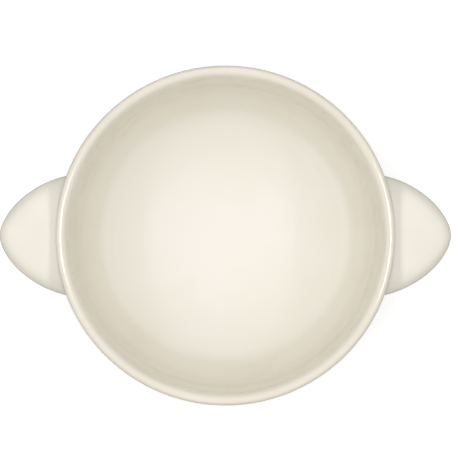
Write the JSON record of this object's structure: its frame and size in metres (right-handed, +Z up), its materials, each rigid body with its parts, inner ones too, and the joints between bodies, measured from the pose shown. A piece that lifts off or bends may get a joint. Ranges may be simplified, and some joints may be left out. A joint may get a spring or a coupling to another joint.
{
  "type": "soup cup",
  "caption": "Round glazed stoneware soup cup with straight, slightly flared walls, a full-round lip, a foot ring and a level pointed-oval lug on each side to lift it by.",
  "frame": {"origin": "on the table, at the cup's axis", "axes": "+Z up along the cup's axis, +X towards the right lug"},
  "size_m": [0.174, 0.13, 0.062],
  "materials": {
    "cup_glaze": "glossy cream glaze on stoneware",
    "lug_glaze": "glossy cream glaze on stoneware, thinner at the edges",
    "foot_clay": "glazed sides and an unglazed, wiped standing face of fired clay",
    "joint_slip": "fired slip, covered by the glaze where it shows"
  },
  "bodies": {
    "root": {"cup_body": "cup_glaze", "foot_ring": "foot_clay", "foot_slip": "joint_slip", "left_lug": "lug_glaze", "right_lug": "lug_glaze", "left_lug_slip": "joint_slip", "right_lug_slip": "joint_slip"}
  },
  "joints": []
}
